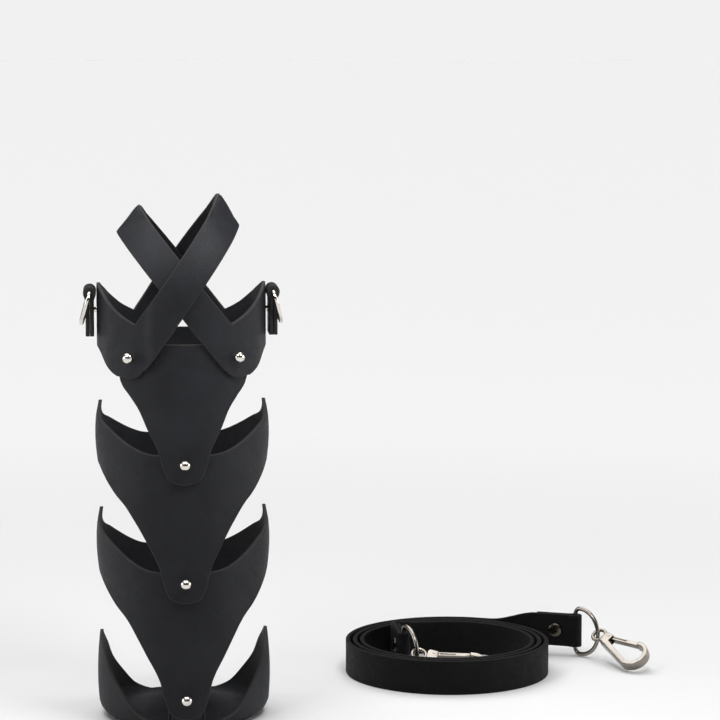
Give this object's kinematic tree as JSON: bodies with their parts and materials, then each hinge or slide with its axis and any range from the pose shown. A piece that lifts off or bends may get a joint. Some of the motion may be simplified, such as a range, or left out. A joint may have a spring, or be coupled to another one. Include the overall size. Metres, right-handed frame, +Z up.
{
  "type": "bottle carrier",
  "caption": "Leather carrier for one wine bottle: chained pointed hoops on a base sling, crossing neck straps with side rings, and a coiled shoulder strap with snap hooks.",
  "frame": {"origin": "on the floor under the middle of the carrier's base", "axes": "+Z up along the bottle, -Y towards the front with the tabs and ball studs, +X towards the side where the shoulder strap lies"},
  "size_m": [0.2899, 0.1735, 0.2511],
  "materials": {
    "carrier_leather": "matt, fine grain, dyed nearly black",
    "strap_leather": "matt black, fine pebble grain",
    "polished_nickel": "polished",
    "satin_nickel": "satin",
    "antique_nickel": "darkened, satin"
  },
  "bodies": {
    "carrier": {"left_collar": "carrier_leather", "right_collar": "carrier_leather", "front_bib": "carrier_leather", "back_bib": "carrier_leather", "upper_hoop": "carrier_leather", "lower_hoop": "carrier_leather", "base_sling": "carrier_leather", "left_ring_tab": "carrier_leather", "right_ring_tab": "carrier_leather", "tab_rivets": "polished_nickel", "ball_studs": "polished_nickel", "stud_screws": "satin_nickel"},
    "left_ring": {"left_carry_ring": "polished_nickel"},
    "right_ring": {"right_carry_ring": "polished_nickel"},
    "strap": {"shoulder_strap": "strap_leather", "strap_rivets": "antique_nickel"},
    "outer_ring": {"outer_end_ring": "satin_nickel"},
    "outer_hook": {"outer_hook_body": "satin_nickel", "outer_gate_pin": "satin_nickel", "outer_gate_spring": "satin_nickel"},
    "outer_gate": {"outer_hook_gate": "satin_nickel"},
    "inner_ring": {"inner_end_ring": "satin_nickel"},
    "inner_hook": {"inner_hook_body": "satin_nickel", "inner_gate_pin": "satin_nickel", "inner_gate_spring": "satin_nickel"},
    "inner_gate": {"inner_hook_gate": "satin_nickel"}
  },
  "joints": [
    {"name": "left_ring_swing", "type": "hinge", "parent": "carrier", "child": "left_ring", "pos_m": [-0.04343, 0, 0.2048], "axis": [0, 1, 0], "range_deg": [0, 165]},
    {"name": "right_ring_swing", "type": "hinge", "parent": "carrier", "child": "right_ring", "pos_m": [0.04343, 0, 0.2048], "axis": [0, -1, 0], "range_deg": [0, 165]},
    {"name": "strap_apart", "type": "slide", "parent": "carrier", "child": "strap", "axis": [1, 0, 0], "range_m": [0, 0.06]},
    {"name": "outer_ring_turn", "type": "hinge", "parent": "strap", "child": "outer_ring", "pos_m": [0.20888, 0.10077, 0.0135], "axis": [0, 0, 1], "range_deg": [-20, 100]},
    {"name": "outer_hook_turn", "type": "hinge", "parent": "outer_ring", "child": "outer_hook", "pos_m": [0.21884, 0.0889, 0.0135], "axis": [0, 0, 1], "range_deg": [-25, 35]},
    {"name": "outer_gate_press", "type": "hinge", "parent": "outer_hook", "child": "outer_gate", "pos_m": [0.22409, 0.08244, 0.01293], "axis": [0.4116, 0.4343, -0.8013], "range_deg": [0, 28], "stiffness_Nm_per_rad": 0.01, "springref_deg": -17.19},
    {"name": "inner_ring_turn", "type": "hinge", "parent": "strap", "child": "inner_ring", "pos_m": [0.11399, 0.06669, 0.0135], "axis": [0, 0, 1], "range_deg": [-5, 40]},
    {"name": "inner_hook_turn", "type": "hinge", "parent": "inner_ring", "child": "inner_hook", "pos_m": [0.11929, 0.05212, 0.0135], "axis": [0, 0, 1], "range_deg": [-5, 30]},
    {"name": "inner_gate_press", "type": "hinge", "parent": "inner_hook", "child": "inner_gate", "pos_m": [0.1276, 0.05171, 0.01293], "axis": [-0.0473, 0.5965, -0.8013], "range_deg": [0, 28], "stiffness_Nm_per_rad": 0.01, "springref_deg": -17.19}
  ]
}
